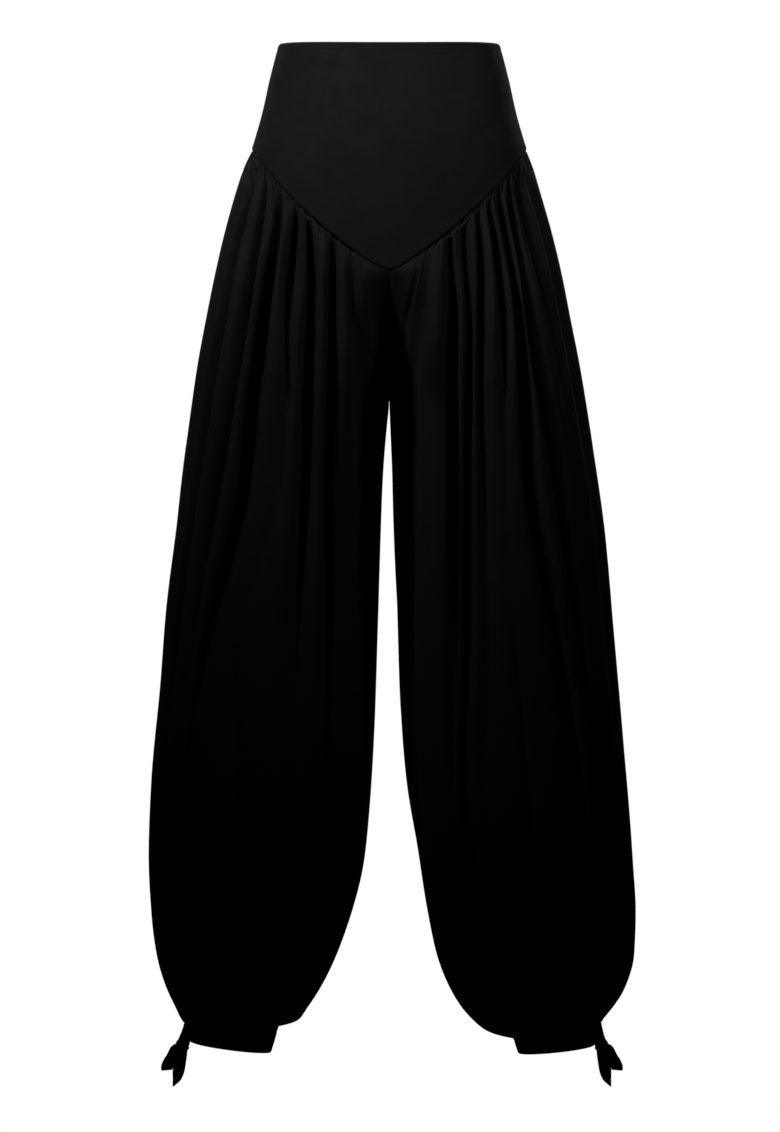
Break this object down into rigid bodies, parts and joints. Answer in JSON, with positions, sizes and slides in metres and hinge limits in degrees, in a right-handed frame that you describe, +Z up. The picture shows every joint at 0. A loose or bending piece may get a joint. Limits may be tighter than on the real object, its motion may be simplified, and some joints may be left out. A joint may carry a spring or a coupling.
{
  "type": "harem trousers",
  "caption": "High-waisted black harem trousers, hollow in their worn form: smooth pointed yoke, full legs gathered under it and into narrow ankle cuffs that tie at the side.",
  "frame": {"origin": "middle of the waist opening, at the height of the waist edge's sides and back", "axes": "+X to the wearer's left, -Y to the front, +Z up along the garment"},
  "size_m": [0.5113, 0.263, 1.0934],
  "materials": {
    "black_cloth": "matte woven black cloth with a faint sheen",
    "cuff_cloth": "the same matte black cloth, doubled and pressed",
    "zip_cloth": "plain black zip tape and coil",
    "blackened_metal": "satin black enamel"
  },
  "bodies": {
    "trousers": {"front_yoke": "black_cloth", "back_yoke_left": "black_cloth", "back_yoke_right": "black_cloth", "front_leg_left": "black_cloth", "front_leg_right": "black_cloth", "back_leg_left": "black_cloth", "back_leg_right": "black_cloth", "cuff_left": "cuff_cloth", "cuff_right": "cuff_cloth", "tie_knot_left": "cuff_cloth", "tie_knot_right": "cuff_cloth", "tie_tail_back_left": "cuff_cloth", "tie_tail_back_right": "cuff_cloth", "tie_tail_front_left": "cuff_cloth", "tie_tail_front_right": "cuff_cloth", "zip_tape": "zip_cloth", "zip_slider": "blackened_metal"},
    "pull": {"zip_pull": "blackened_metal"}
  },
  "joints": [
    {"name": "pull_tilt", "type": "hinge", "parent": "trousers", "child": "pull", "pos_m": [0, 0.09376, -0.00814], "axis": [1, 0, 0], "range_deg": [0, 170]}
  ]
}
